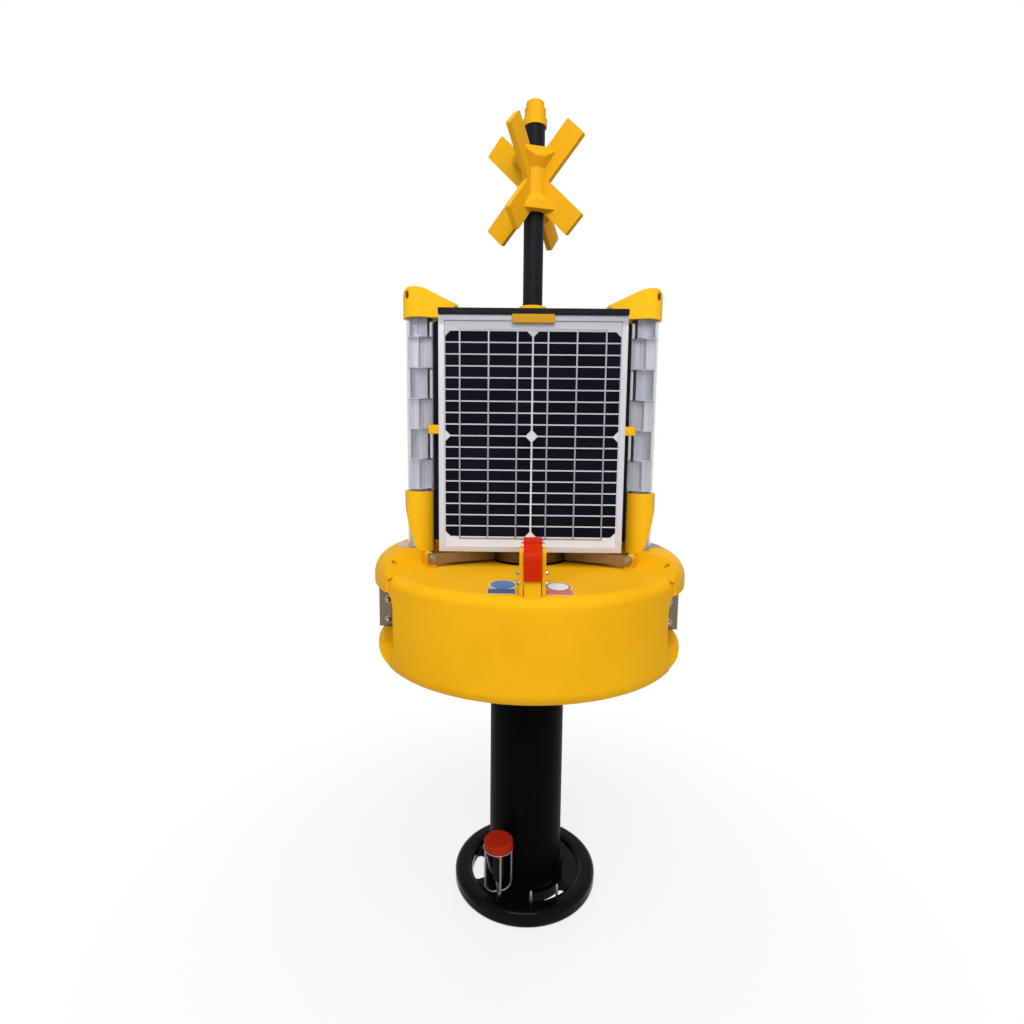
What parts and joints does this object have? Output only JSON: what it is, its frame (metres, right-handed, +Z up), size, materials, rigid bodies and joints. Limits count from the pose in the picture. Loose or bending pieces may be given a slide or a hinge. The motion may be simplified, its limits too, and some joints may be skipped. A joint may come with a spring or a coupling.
{
  "type": "acoustic monitoring buoy",
  "caption": "Round float on a tube with a base ring, carrying solar panels, radar reflector tubes, a mast with a crossed topmark, and a caged hydrophone that listens under water.",
  "frame": {"origin": "on the floor under the middle of the base ring", "axes": "+Z up along the tube and mast, -Y out of the front panel, +X towards the right ear"},
  "size_m": [0.606, 0.596, 1.5505],
  "materials": {
    "yellow_polyethylene": "moulded, satin",
    "black_plastic": "satin",
    "stainless_steel": "brushed",
    "panel_aluminium": "clear anodised",
    "panel_backsheet": "white sheet under glass",
    "solar_cell": "dark cells under glass",
    "clear_tube": "clear, polished",
    "reflector_foil": "bright foil",
    "red_plastic": "moulded, satin",
    "black_rubber": "matt"
  },
  "bodies": {
    "root": {"base_ring": "black_plastic", "central_tube": "black_plastic", "clamp_strap_back": "stainless_steel", "clamp_strap_front": "stainless_steel", "corner_cap_left": "yellow_polyethylene", "corner_cap_right": "yellow_polyethylene", "float_body": "yellow_polyethylene", "hydrophone_cage": "stainless_steel", "hydrophone_cap": "red_plastic", "hydrophone_element": "black_rubber", "latch_cheek_left": "yellow_polyethylene", "latch_cheek_right": "yellow_polyethylene", "latch_pin": "stainless_steel", "latch_strap": "red_plastic", "lower_socket_left": "yellow_polyethylene", "lower_socket_right": "yellow_polyethylene", "mast": "black_plastic", "mast_cap": "yellow_polyethylene", "mast_foot": "yellow_polyethylene", "panel_cells_back": "solar_cell", "panel_cells_front": "solar_cell", "panel_frame_back": "panel_aluminium", "panel_frame_front": "panel_aluminium", "panel_laminate_back": "panel_backsheet", "panel_laminate_front": "panel_backsheet", "panel_side_clip_left_back": "yellow_polyethylene", "panel_side_clip_left_front": "yellow_polyethylene", "panel_side_clip_right_back": "yellow_polyethylene", "panel_side_clip_right_front": "yellow_polyethylene", "panel_top_clip_back": "yellow_polyethylene", "panel_top_clip_front": "yellow_polyethylene", "reflector_array_left": "reflector_foil", "reflector_array_right": "reflector_foil", "reflector_tube_left": "clear_tube", "reflector_tube_right": "clear_tube", "side_plate_left_back": "stainless_steel", "side_plate_left_front": "stainless_steel", "side_plate_right_back": "stainless_steel", "side_plate_right_front": "stainless_steel", "topmark": "yellow_polyethylene", "tower_bottom_plate": "black_plastic", "tower_core": "black_plastic", "tower_top_plate": "black_plastic"}
  },
  "joints": []
}
